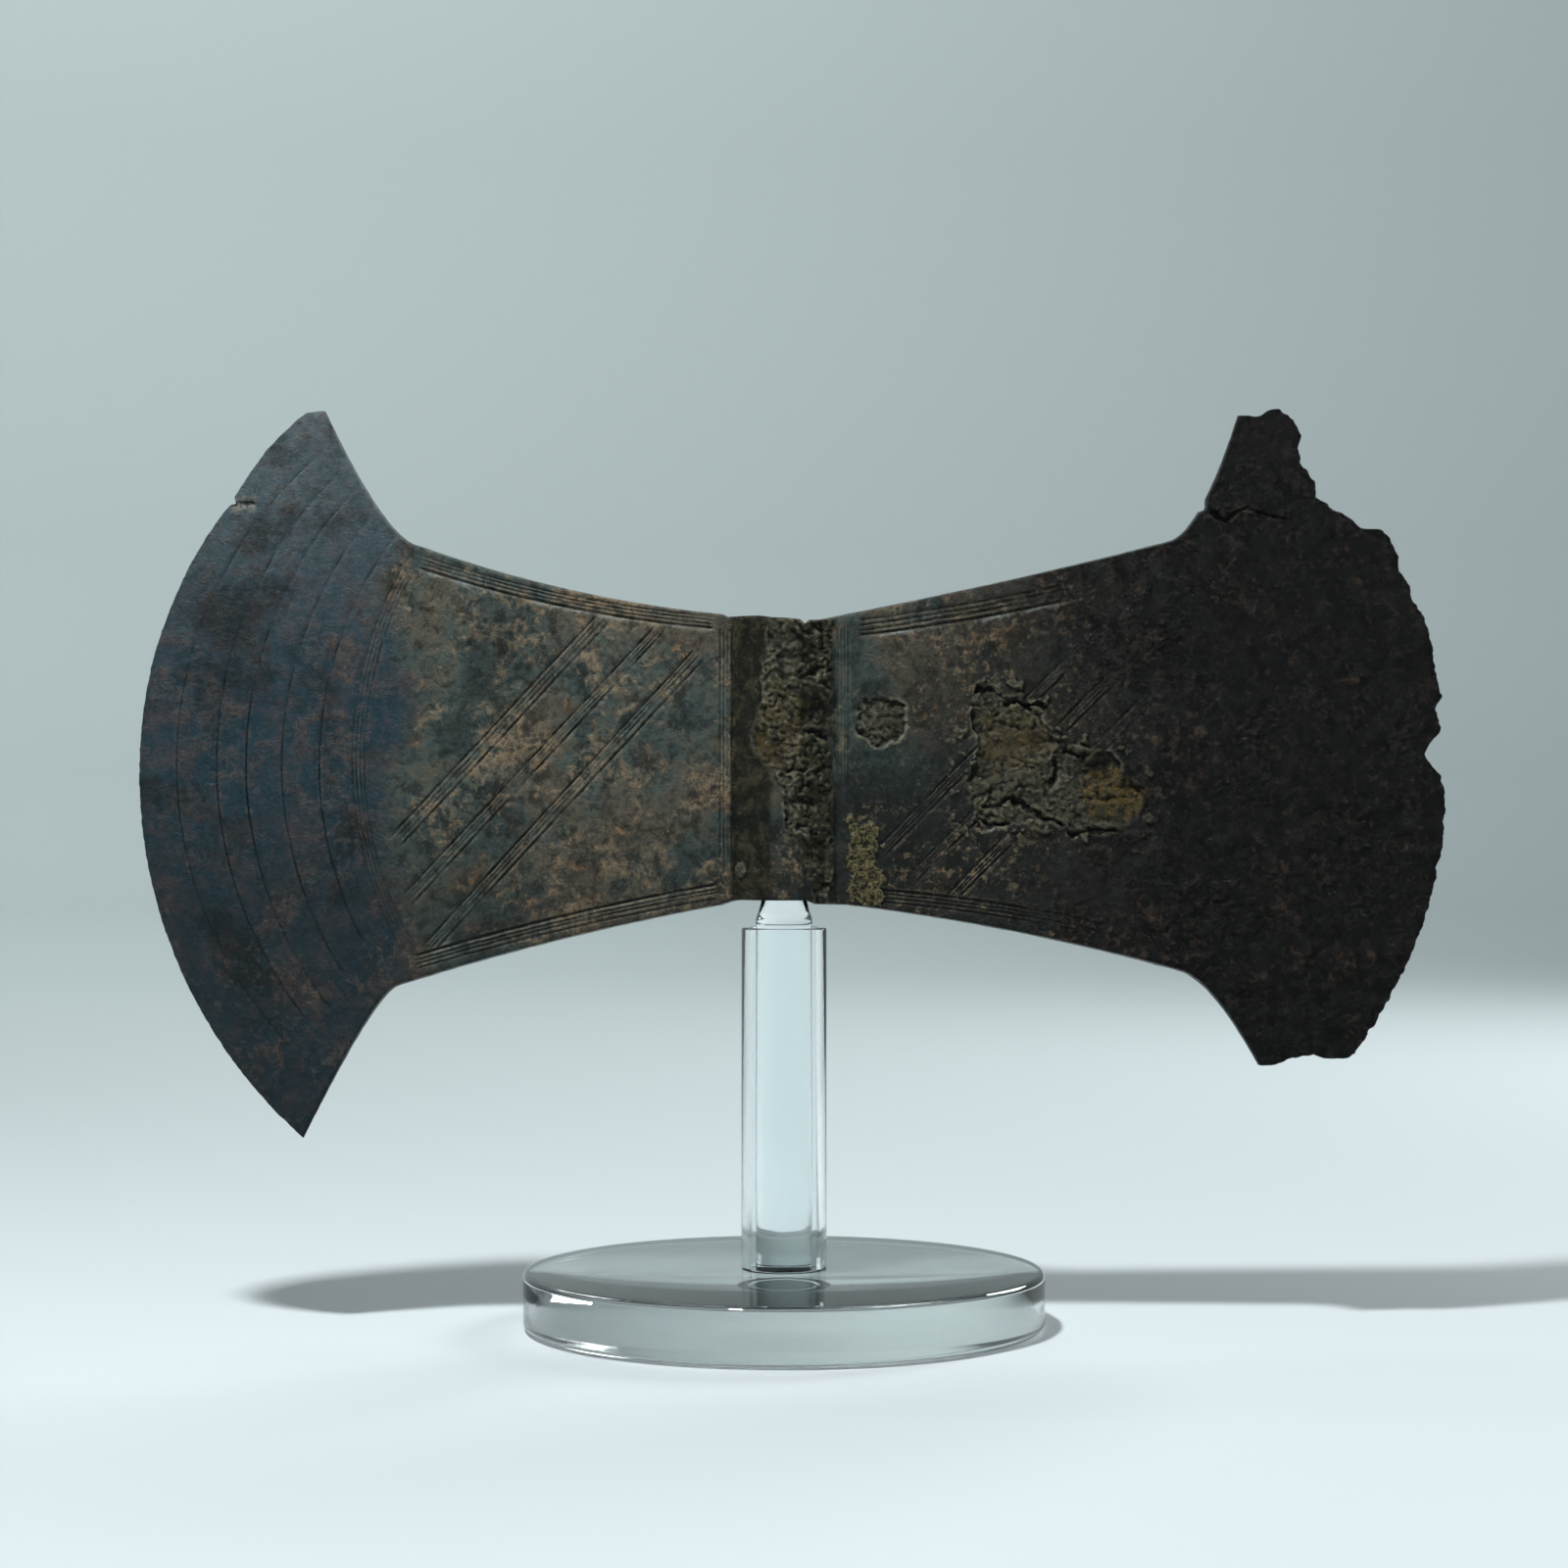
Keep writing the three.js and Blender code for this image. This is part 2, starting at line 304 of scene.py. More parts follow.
# every cut line is a narrow hollow; depths grow and fade a little, as hand work does
lines = {
    "depth": 0.30,
    "halfWidth": 0.40,
    # beside a long edge: distances in near the socket, then near the blade, where they run, fade
    "borders": [
        (wholeBlade, "top", (0.7, 1.4, 2.25, 3.0), (1.65, 2.4, 3.2, 4.1), (14.6, 78.0), 3),
        (wholeBlade, "bottom", (1.4, 2.5, 3.25, 4.3), (2.15, 3.05, 3.85, 4.85), (13.9, 79.0), 3),
        (wornBlade, "top", (1.7, 2.8, 3.95, 4.8), (3.6, 4.6, 5.5, 6.9), (15.6, 72.0), 16),
        (wornBlade, "bottom", (1.35, 2.2, 3.05, 3.85), (3.05, 3.95, 4.7, 5.5), (19.5, 81.5), 24),
    ],
    "borderStrengths": (0.85, 0.85, 0.9, 1.35),
    "borderWidths": (0.85, 0.85, 0.95, 1.4),
    # where the painted glint lies inside the innermost top line, and its width
    "glintInset": 0.45,
    "glintWidth": 0.75,
    # x of each upright line, then their lowest and highest ends
    "uprights": [
        ((-13.35, -12.55, -11.75, -11.0), (-27.0, 26.6)),
        ((11.35, 12.05, 12.75, 13.4), (-14.0, 27.4)),
    ],
    # slanted sets: middle line's upper and lower end, then the four distances across at each end
    "slants": [
        ((-38.2, 28.9), (-81.2, -17.6), (-1.4, -0.45, 0.36, 1.4), (-1.85, -0.75, 0.15, 1.05)),
        ((-26.4, 26.6), (-78.5, -29.6), (-1.1, -0.35, 0.3, 1.0), (-1.65, -0.75, 0.0, 1.0)),
        ((-18.3, 21.6), (-74.7, -39.9), (-1.1, -0.3, 0.5, 1.75), (-1.15, -0.3, 0.45, 1.3)),
        ((76.5, 36.2), (20.2, -19.8), (-1.7, -0.95, -0.3, 0.5), (-1.2, -0.4, 0.35, 1.15)),
        ((80.5, 28.1), (26.8, -25.2), (-1.6, -0.75, 0.1, 0.95), (-0.9, -0.2, 0.45, 1.1)),
        ((80.0, 16.0), (35.1, -28.3), (-1.35, -0.4, 0.35, 1.2), (-0.45, 0.4, 1.0, 1.7)),
    ],
    "slantStrengths": (1.2, 0.8, 0.8, 1.15),
    # rings that part each blade from the body: centre, radii, half angle
    "rings": [(-7.8, -0.5, (80.5, 81.3, 82.15, 83.0), 31.5), (11.7, -0.5, (80.6, 81.4, 82.2, 83.0), 33.0)],
    # single arcs on the whole blade: x at mid height, radius, lowest and highest ends
    "arcs": [
        (-128.1, 86.0, -62.0, 67.0),
        (-119.6, 86.0, -57.0, 64.0),
        (-113.3, 84.0, -54.0, 60.0),
        (-105.7, 82.0, -47.5, 57.0),
        (-97.8, 80.0, -40.0, 52.0),
    ],
    "rimInset": 2.5,
}


def hollow(distance, wide=1.0):
    # 1 in the middle of a line, falling as a cosine to 0 at the lines' half width times wide
    halfWidth = lines["halfWidth"] * wide
    return np.where(np.abs(distance) < halfWidth, 0.5 + 0.5 * np.cos(np.pi * distance / halfWidth), 0)


def edgeInset(x, z, blade, which):
    # distance in from a long edge, along its body only
    edge = blade[which]
    t = np.abs(x) - head["plateRoot"]
    reach = edge["root"] + edge["slope"] * t + edge["bend"] * t * t
    steep = edge["slope"] + 2 * edge["bend"] * t
    return (reach - (z if which == "top" else -z)) / np.sqrt(1 + steep ** 2)


def borderPlace(x, z, border, k):
    # distance across from border line k of a set, and how far the line holds there, 0 to 1
    blade, which, first, last, (start, end), fade = border
    out = x * blade["side"]
    t = np.clip((out - start) / (end - start), 0, 1)
    share = t if blade is wholeBlade else 1 - (1 - t) ** 2
    reach = ease(start, start + 0.8, out) * ease(end, end - fade, out)
    return edgeInset(x, z, blade, which) - first[k] - (last[k] - first[k]) * share, reach


def borderGlintPaint(x, z):
    # a painted glint on the rubbed inner lip of the innermost line along the top edges
    paintedGlint = np.zeros_like(x)
    for border in lines["borders"]:
        if border[1] == "top":
            away, reach = borderPlace(x, z, border, 3)
            paintedGlint = np.maximum(paintedGlint, hollow(away - lines["glintInset"], lines["glintWidth"]) * reach)
    return paintedGlint * ease(-0.3, 0.3, noise(x, z, 6, 4, 73))


def borderLines(x, z, wobble):
    # four lines along each long edge
    for border in lines["borders"]:
        for k, (strength, wide) in enumerate(zip(lines["borderStrengths"], lines["borderWidths"])):
            away, reach = borderPlace(x, z, border, k)
            yield strength * hollow(away + 0.6 * wobble, wide) * reach


def uprightLines(x, z, wobble):
    # four lines on each side of the socket
    for places, (low, high) in lines["uprights"]:
        reach = ease(low - 0.5, low + 9, z) * ease(high + 0.6, high, z)
        for place in places:
            yield 0.7 * hollow(x - place + 0.5 * wobble, 0.85) * reach


def slantLines(x, z, wobble):
    # sets of four lines that open or close a little on their way down
    for upper, lower, first, last in lines["slants"]:
        along, across, length = alongAndAcross(x, z, upper, lower)
        share = np.clip(along / length, 0, 1)
        reach = ease(-1, 0.8, along) * ease(length + 2.5, length - 2, along)
        for k, (a, b, strength) in enumerate(zip(first, last, lines["slantStrengths"])):
            away = across - a - (b - a) * share + wobble
            uneven = 0.95 + 0.8 * noise(along * 0.5, across * 0.3, 4.0, 3, 80 + k)
            yield strength * np.clip(uneven, 0.35, 1.25) * hollow(away, strength) * reach


def ringLines(x, z, wobble):
    # four arcs between each blade and the body
    for cx, cz, radii, halfAngle in lines["rings"]:
        side = -1 if cx < 0 else 1
        out = (x - cx) * side
        angle = np.degrees(np.arctan2(z - cz, out))
        reach = ease(halfAngle + 1, halfAngle - 3, np.abs(angle))
        if side > 0:
            reach = reach * (0.25 + 0.75 * ease(-14, -24, angle))
        for radius in radii:
            yield 0.8 * hollow(np.hypot(out, z - cz) - radius + wobble) * reach


def bladeArcs(x, z, wobble):
    # single arcs on the whole blade, broken in their upper half, and a short one along its rim
    for place, radius, low, high in lines["arcs"]:
        away = np.hypot(x - place - radius, z + 1.3) - radius + 1.3 * wobble
        broken = ease(-0.35, 0.1, noise(z, x * 0 + place, 7, 2, 91)) * ease(-10, 25, z)
        reach = ease(low, low + 3, z) * ease(high, high - 9, z) * (x < -70)
        yield 0.95 * hollow(away, 0.85) * reach * (1 - 0.55 * broken)
    (cx, cz), radius = wholeBlade["centre"], wholeBlade["radius"]
    away = np.hypot(x + cx, z - cz) - radius + lines["rimInset"]
    reach = ease(-12, -22, z) * ease(-70, -62, z) * (x < -90)
    yield 0.45 * hollow(away + wobble) * reach


backKinds = [borderLines, uprightLines, ringLines, bladeArcs]


def cutLines(x, z, kinds):
    # the deepest of these kinds of incised line at each point, as a share of about 0 to 1.4
    wobble = 0.10 * noise(x, z, 14, 3, 71)
    cut = np.zeros_like(x)
    for kind in kinds:
        for line in kind(x, z, wobble):
            cut = np.maximum(cut, line)
    return cut * np.clip(0.9 + 0.45 * noise(x, z, 9, 3, 75), 0.4, 1.2)


# each corroded place is an outline, or an oval: its middle, then its half widths
decay = {
    # left border of the corroded strip on the socket: (height, x)
    "socketBorder": [
        (-29, 6.6), (-23.1, 4.0), (-18.5, 1.7), (-14, 0.3), (-8, -0.1), (-2.4, -2.8), (1.1, -6.0),
        (5.9, -6.7), (9.8, -5.3), (18.1, -4.5), (29.1, -3.0),
    ],
    "socketEnd": 10.2,
    "socketSpot": (-9.0, -23.4, 1.2, 1.7),
    "socketDepth": 0.55,
    "hollow": [
        (40.5, 14.6), (47.9, 12.7), (54.5, 11.5), (54.9, 5.9), (62.4, 3.2), (67.6, 2.2), (70.1, -0.9),
        (74.2, -5.5), (76.5, -7.6), (74.8, -11.3), (72.1, -14.0), (66.1, -16.0), (57.8, -15.0),
        (52.0, -12.7), (45.8, -14.2), (39.2, -12.5), (38.0, -5.5), (40.5, 2.0), (38.8, 5.9), (39.3, 10.7),
    ],
    "hollowDepth": 1.25,
    "smoothFloor": (47.0, 2.5, 6.5, 5.0),
    "crevices": [
        [(42, -10.6), (44.6, -9.8), (47.6, -8.3), (50.4, -9.1), (51.5, -11), (54.6, -12.4), (58.4, -14)],
        [(60.3, -16.0), (63.8, -15.2), (69.5, -14.9)],
        [(59.5, 1.1), (63.0, 0.7)],
        [(56.4, -0.9), (56.9, -2.6), (56.4, -5.3)],
        [(47.0, 11.8), (50.5, 11.0), (54.8, 10.8)],
        [(41.5, -14.4), (46.0, -13.8)],
    ],
    "flake": (20.6, 7.6, 5.6, 5.0),
    "flakeDepth": 0.95,
    "crust": [
        (13.6, -12.6), (15.6, -13.8), (17.8, -13.0), (20.3, -14.6), (19.6, -16.8), (21.0, -18.4),
        (18.2, -20.6), (19.8, -23.0), (21.4, -25.2), (20.2, -27.4), (20.8, -29.4), (18.2, -30.2),
        (17.4, -32.0), (15.2, -30.6), (13.9, -31.6), (13.2, -27.5), (14.2, -24.0), (12.8, -21.5),
        (13.6, -18.0), (12.9, -15.0),
    ],
    "edgeHollow": (119.5, -21.0, 9.5, 10.5),
    "crack": [
        (88.0, 53.4), (91.0, 50.9), (93.0, 49.7), (95.2, 51.8), (97.4, 52.6), (100.3, 51.6), (103.2, 50.8),
        (107.0, 50.2),
    ],
    # (x, half width) of the crack
    "crackWidths": [(88, 1.2), (93, 0.75), (96, 0.5), (107, 0.22)],
    # where the crack opens the edge: x, z, reach, depth
    "mouth": (87.9, 53.2, 1.9, 0.95),
    "chip": (-113.8, 53.6, 2.6, 0.7),
    "chipEdge": (-113.6, 53.2, 2.4, 0.35),
    # ochre stains: oval and strength
    "ochre": [((70.0, -7.5, 7.0, 5.0), 1.0), ((47.5, 3.5, 8.0, 6.5), 0.4), ((-0.5, 6.0, 5.0, 9.0), 0.4)],
}


def oval(x, z, place, ragged, seed):
    # 1 inside an oval, 0 outside, its border broken by noise
    cx, cz, rx, rz = place
    away = np.hypot((x - cx) / rx, (z - cz) / rz) + ragged * noise(x, z, 3.0, 4, seed)
    return ease(1.06, 0.94, away)


def decayMasks(x, z):
    # how far each kind of corrosion holds at a point of the front, 0 to 1
    border = np.interp(z, *zip(*decay["socketBorder"])) + 1.7 * noise(x, z, 5.0, 5, 21, 0.6)
    end = decay["socketEnd"] + 1.2 * noise(x, z, 4.0, 4, 22)
    socket = ease(border - 0.2, border + 0.35, x) * ease(end + 0.4, end - 0.9, x)
    socket = np.maximum(socket, oval(x, z, decay["socketSpot"], 0.6, 41))
    near = (x > 28) & (x < 88) & (z > -27) & (z < 26)
    inset = np.full(np.shape(x), -9.0)
    inset[near] = patchInset(x[near], z[near], decay["hollow"])
    ragged = inset + 2.6 * noise(x, z, 6.0, 5, 24, 0.6)
    outliers = ease(0.22, 0.36, noise(x, z, 3.4, 3, 26)) * ease(-6.5, -1.5, inset)
    crustInset = patchInset(x, z, decay["crust"]) + 2.8 * noise(x, z, 3.6, 5, 27, 0.65)
    start = 70 - 12 * ease(6, 24, np.abs(z + 2)) + 12 * noise(x, z, 22, 3, 31)
    return {
        "socket": socket,
        "hollow": ease(-0.15, 0.4, ragged),
        "hollowInset": ragged,
        "outliers": outliers * (ragged < 0),
        "flake": oval(x, z, decay["flake"], 0.42, 33),
        "crust": ease(-0.3, 0.5, crustInset),
        "edgeHollow": oval(x, z, decay["edgeHollow"], 0.6, 35),
        "rough": ease(start - 10, start + 14, x),
        "dark": ease(start - 34, start + 40, x),
        "chip": oval(x, z, decay["chip"], 0.5, 37),
    }


def crumbledForm(x, z, masks):
    # the lumps of the eaten places, 0 elsewhere
    places = ("socket", "hollow", "flake", "outliers", "edgeHollow")
    near = np.maximum.reduce([masks[k] for k in places]) > 0
    form = np.zeros_like(x)
    form[near] = crumbled(x[near], z[near], 161)
    return form


def wornRelief(x, z, lump, skin):
    # the worn blade: split sheets with ridges and pebbly grain, and shallow eaten pits
    eaten = ease(0.05, 0.4, noise(x, z, 5.0, 4, 113))
    sheet = flakes(x, z * 1.8, 11.0, 3, 107)
    strong = 0.75 + 0.6 * noise(x, z, 18, 2, 155)
    ridge = 0.5 - np.abs(noise(x * 0.6 + 0.3 * lump, z * 1.5, 2.6, 4, 157, 0.6))
    return strong * (0.34 * sheet + 0.14 * skin + 0.16 * lump + 0.55 * ridge - 0.34 * eaten)


def eatenRelief(x, z, masks, lump, grain):
    # each corroded place lowered or raised where its mask holds, with its own lumps
    form = crumbledForm(x, z, masks)
    layers = flakes(x, z * 1.7, 8.0, 4, 121)
    flow = noise(x + 0.25 * z, z * 0.6, 6.0, 3, 165)
    relief = masks["socket"] * (-decay["socketDepth"] + 0.9 * form + 1.0 * flow + 0.2 * grain)
    calm = oval(x, z, decay["smoothFloor"], 0.5, 39)
    deep = decay["hollowDepth"] * (0.6 + 0.4 * ease(0, 5, masks["hollowInset"]))
    rubble = 0.85 * form * (1 - 0.5 * calm) + 0.45 * layers + 0.12 * grain
    relief = relief + masks["hollow"] * (-deep + rubble)
    relief = relief + masks["outliers"] * (0.25 + 0.4 * form)
    relief = relief + masks["flake"] * (-decay["flakeDepth"] + 0.7 * form + 0.3 * grain)
    sand = pebbles(x, z, 0.9, 171) - 0.6
    relief = relief + masks["crust"] * (0.25 + 0.30 * sand + 0.30 * lump + 0.1 * grain)
    relief = relief + masks["edgeHollow"] * (-0.3 + 0.1 * layers + 0.2 * form)
    return relief - masks["chip"] * (0.8 + 0.5 * grain)


def crackRelief(x, z, lump):
    # narrow clefts along bent paths in the hollow, and the crack that narrows from the edge inwards
    bentX, bentZ = x + 1.3 * noise(x, z, 4.0, 4, 131), z + 1.3 * noise(x, z, 4.0, 4, 136)
    relief = np.zeros_like(x)
    for path in decay["crevices"]:
        away = pathDistance(bentX, bentZ, path) * (1 + 1.1 * lump)
        relief = relief - 1.1 * ease(0.95, 0.1, away) * (0.6 + 0.8 * np.abs(lump))
    away = pathDistance(x, z, decay["crack"]) + 0.30 * noise(x, z, 2.0, 3, 141)
    wide = np.interp(x, *zip(*decay["crackWidths"]))
    return relief - 1.2 * np.clip(wide, 0.5, 1) * ease(wide, 0.1 * wide, away)


def frontRelief(x, z):
    # height of the front above its plain form: cut lines, then each corroded place with its own texture
    masks = decayMasks(x, z)
    whole = 1 - np.maximum.reduce([masks[k] for k in ("socket", "hollow", "flake", "crust")])
    rough = masks["rough"]
    lump = noise(x, z, 3.2, 4, 101)
    grain = noise(x, z, 1.4, 3, 103, 0.6)
    skin = pebbles(x * 0.8, z * 1.25, 1.7, 151) - 0.65
    relief = 0.12 * noise(x, z, 24, 3, 111) + 0.07 * lump + 0.05 * grain
    kept = whole * (1 - 0.5 * rough - 0.5 * masks["outliers"]) * (1 - 0.7 * masks["edgeHollow"])
    relief = relief - lines["depth"] * cutLines(x, z, backKinds + [slantLines]) * kept
    relief = relief + rough * wornRelief(x, z, lump, skin)
    patches = ease(0.1, 0.5, noise(x, z, 7, 3, 153)) * (x > 30)
    relief = relief + 0.12 * patches * skin * (1 - rough)
    return relief + eatenRelief(x, z, masks, lump, grain) + crackRelief(x, z, lump)


def standsOut(x, z, relief):
    # height above the average of six places around, so ridges are above 0 and grooves and pits below
    turns = np.arange(6) * np.pi / 3
    around = sum(relief(x + 0.75 * math.cos(t), z + 0.75 * math.sin(t)) for t in turns)
    return relief(x, z) - around / 6


def backRough(x, z):
    # how far the worn blade's corrosion reaches on the unseen side
    start = 76 + 18 * noise(x, z, 30, 4, 231)
    return ease(start - 20, start + 22, x)


def backRelief(x, z):
    # the unseen side: border lines and rings kept, slants left plain, milder corrosion over the worn blade
    cut = cutLines(x, z, backKinds)
    rough = backRough(x, z)
    lump = noise(x, z, 4.2, 3, 201)
    relief = 0.10 * noise(x, z, 24, 3, 211) + 0.02 * lump
    relief = relief + rough * (0.24 * flakes(x, z * 1.6, 11.0, 3, 207) + 0.10 * lump)
    return relief - 0.8 * lines["depth"] * cut * (1 - 0.8 * rough)


def newObject(name, data):
    # an object of this mesh, lamp or camera, placed in the scene
    made = bpy.data.objects.new(name, data)
    bpy.context.scene.collection.objects.link(made)
    return made


def closeMesh(mesh):
    # merges points that meet, drops points midway along an edge, turns every face outwards
    work = bmesh.new()
    work.from_mesh(mesh)
    bmesh.ops.remove_doubles(work, verts=work.verts, dist=1e-7)
    bmesh.ops.dissolve_verts(work, verts=[v for v in work.verts if len(v.link_edges) == 2])
    bmesh.ops.recalc_face_normals(work, faces=work.faces)
    work.to_mesh(mesh)
    work.free()


def meshObject(name, points, faces):
    # a new object from arrays of points and four-cornered faces, smooth shaded
    mesh = bpy.data.meshes.new(name)
    mesh.vertices.add(len(points))
    mesh.vertices.foreach_set("co", np.asarray(points, np.float32).ravel())
    mesh.loops.add(faces.size)
    mesh.loops.foreach_set("vertex_index", faces.astype(np.int32).ravel())
    mesh.polygons.add(len(faces))
    mesh.polygons.foreach_set("loop_start", np.arange(0, faces.size, 4, dtype=np.int32))
    mesh.update(calc_edges=True)
    mesh.validate()
    mesh.polygons.foreach_set("use_smooth", np.ones(len(mesh.polygons), bool))
    piece = newObject(name, mesh)
    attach(piece, "root")
    return piece


def quads(index):
    # four-cornered faces of a grid of point numbers
    return np.stack([index[:-1, :-1], index[1:, :-1], index[1:, 1:], index[:-1, 1:]], -1).reshape(-1, 4)


def gridSteps(x, z):
    # distance in from the outline at each point, taken along the grid and turned square to the edge
    def fromEnd(px, pz):
        step = np.hypot(np.diff(px, axis=1), np.diff(pz, axis=1))
        run = np.concatenate([np.zeros((len(px), 1)), np.cumsum(step, axis=1)], axis=1)
        edgeX, edgeZ = np.gradient(px[:, 0]), np.gradient(pz[:, 0])
        inX, inZ = px[:, 3] - px[:, 0], pz[:, 3] - pz[:, 0]
        square = np.abs(edgeX * inZ - edgeZ * inX) / (np.hypot(edgeX, edgeZ) * np.hypot(inX, inZ) + 1e-9)
        return run * np.clip(square, 0.35, 1)[:, None]

    low, high = fromEnd(x, z), fromEnd(x[:, ::-1], z[:, ::-1])[:, ::-1]
    left, right = fromEnd(x.T, z.T).T, fromEnd(x[::-1].T, z[::-1].T).T[::-1]
    return np.minimum(low, high), np.minimum(left, right)


def headSurface():
    # a closed box of six sheets: front, back, and walls along the long edges and the two cutting edges
    x, z = headGrid()
    long, sharp = gridSteps(x, z)
    half = halfThickness(x, z)
    arris = np.minimum(head["arris"], 0.55 * half)
    drop = arris - np.sqrt(np.maximum(arris ** 2 - np.maximum(arris - long, 0) ** 2, 0))
    fade = ease(0, 0.8, np.minimum(long, sharp)) * ease(0.0, 1.6, half)
    thin = np.clip(half / 1.6, 0.25, 1)
    front = half - drop + frontRelief(x, z) * (0.25 + 0.75 * fade) * thin
    back = half - drop + backRelief(x, z) * (0.25 + 0.75 * fade) * thin
    front, back = np.maximum(front, 0.12), np.maximum(back, 0.12)
    print("head sheet", x.shape, "thinnest", round(float((front + back).min()), 3))
    count = x.size
    frontAt = np.arange(count).reshape(x.shape)
    backAt = frontAt + count
    points = [np.stack([x, -front, z], -1).reshape(-1, 3), np.stack([x, back, z], -1).reshape(-1, 3)]
    made = [2 * count]
    steps = head["wallColumns"]
    share = np.linspace(0, 1, steps + 1)

    def wall(frontLine, backLine, seed, ends=None):
        # a strip across the thickness, bulging a little, sharing its points with the sheets it joins
        a, b = (np.concatenate(points)[line] for line in (frontLine, backLine))
        strip = a[:, None] * (1 - share[None, :, None]) + b[:, None] * share[None, :, None]
        along = np.gradient(a, axis=0)
        out = np.stack([along[:, 2], along[:, 2] * 0, -along[:, 0]], -1)
        out /= np.linalg.norm(out, axis=1, keepdims=True) + 1e-9
        middle = len(a) // 2
        out *= np.sign(out[middle] @ a[middle])
        width = np.linalg.norm(b - a, axis=1)[:, None]
        arch = np.sin(np.pi * share)[None]
        run = np.cumsum(np.hypot(along[:, 0], along[:, 2]))[:, None] + 0 * arch
        rough = 0.12 * noise(run, strip[..., 1], 3.0, 3, seed) * np.minimum(width, 1)
        strip = strip + out[:, None] * (arch * (np.minimum(0.06 * width, 0.35) + rough))[..., None]
        own = slice(1, -1) if ends else slice(None)
        inner = strip[own, 1:-1]
        index = np.empty(strip.shape[:2], int)
        index[:, 0], index[:, -1] = frontLine, backLine
        index[own, 1:-1] = made[0] + np.arange(inner[..., 0].size).reshape(inner.shape[:2])
        if ends:
            index[0], index[-1] = ends
        points.append(inner.reshape(-1, 3))
        made[0] += inner[..., 0].size
        return index

    bottom = wall(frontAt[:, 0], backAt[:, 0], 301)
    top = wall(frontAt[:, -1], backAt[:, -1], 302)
    left = wall(frontAt[0], backAt[0], 303, (bottom[0], top[0]))
    right = wall(frontAt[-1], backAt[-1], 304, (bottom[-1], top[-1]))
    outward = [quads(sheet) for sheet in (frontAt, top, left)]
    turned = [quads(sheet)[:, ::-1] for sheet in (backAt, bottom, right)]
    return np.concatenate(points), np.concatenate(outward + turned)


def rings(radii, heights, segments):
    # circles about the upright axis, each of a radius at a height, and the number of each point
    turn = np.arange(segments) * 2 * np.pi / segments
    radius, height = np.array([radii, heights], float)[..., None]
    points = np.stack([radius * np.cos(turn), radius * np.sin(turn), height + 0 * turn], -1).reshape(-1, 3)
    index = np.arange(len(points)).reshape(-1, segments)
    return points, np.concatenate([index, index[:, :1]], 1)


def buildHead():
    # the closed sheet of points lifted to its height, thinned, then bored
    points, faces = headSurface()
    points[:, 2] += socketMid / mm
    piece = meshObject("axe_head_bronze", points * mm, faces)
    shrink = piece.modifiers.new("fewer triangles", "DECIMATE")
    shrink.ratio = head["triangles"] / (2 * len(faces))
    applyModifiers(piece)
    print("head reduced to", len(piece.data.polygons), "triangles")
    cutHole(piece)
    return piece


def applyModifiers(piece):
    # puts what the live modifiers make in place of the mesh
    graph = bpy.context.evaluated_depsgraph_get()
    made = bpy.data.meshes.new_from_object(piece.evaluated_get(graph))
    old = piece.data
    piece.modifiers.clear()
    piece.data = made
    bpy.data.meshes.remove(old)


def cutHole(piece):
    # the tapered shaft hole, flared at both mouths, cut right through the socket
    heights, flare = np.array(head["holeMouths"], float).T
    half = head["socketHalfHeight"]
    radii = np.interp(heights, [-half, half], [head["holeBottom"], head["holeTop"]])
    radii = radii + head["holeFlare"] * flare
    inner = np.linspace(heights[3], heights[4], 40)
    radii = np.concatenate([radii[:3], np.interp(inner, heights[3:5], radii[3:5]), radii[5:]])
    heights = np.concatenate([heights[:3], inner, heights[5:]])
    points, index = rings(radii, heights, head["holeSegments"])
    turn = np.arctan2(points[:, 1], points[:, 0])
    bumps = 0.16 * noise(turn * 5, points[:, 2] * 0.8, 3.0, 3, 401)
    points[:, :2] *= (1 + bumps / np.linalg.norm(points[:, :2], axis=1))[:, None]
    points[:, 2] += socketMid / mm
    mesh = bpy.data.meshes.new("hole")
    caps = [index[0, :-1].tolist(), index[-1, :-1][::-1].tolist()]
    mesh.from_pydata((points * mm).tolist(), [], quads(index).tolist() + caps)
    closeMesh(mesh)
    cutter = newObject("hole", mesh)
    cut = piece.modifiers.new("shaft hole", "BOOLEAN")
    cut.operation = "DIFFERENCE"
    cut.solver = "MANIFOLD"
    cut.object = cutter
    applyModifiers(piece)
    bpy.data.objects.remove(cutter)
    closeMesh(piece.data)
    print("shaft hole cut, faces", len(piece.data.polygons))


def meshPoints(mesh):
    # an array of every point's place
    points = np.empty(len(mesh.vertices) * 3, np.float32)
    mesh.vertices.foreach_get("co", points)
    return points.reshape(-1, 3).astype(float)


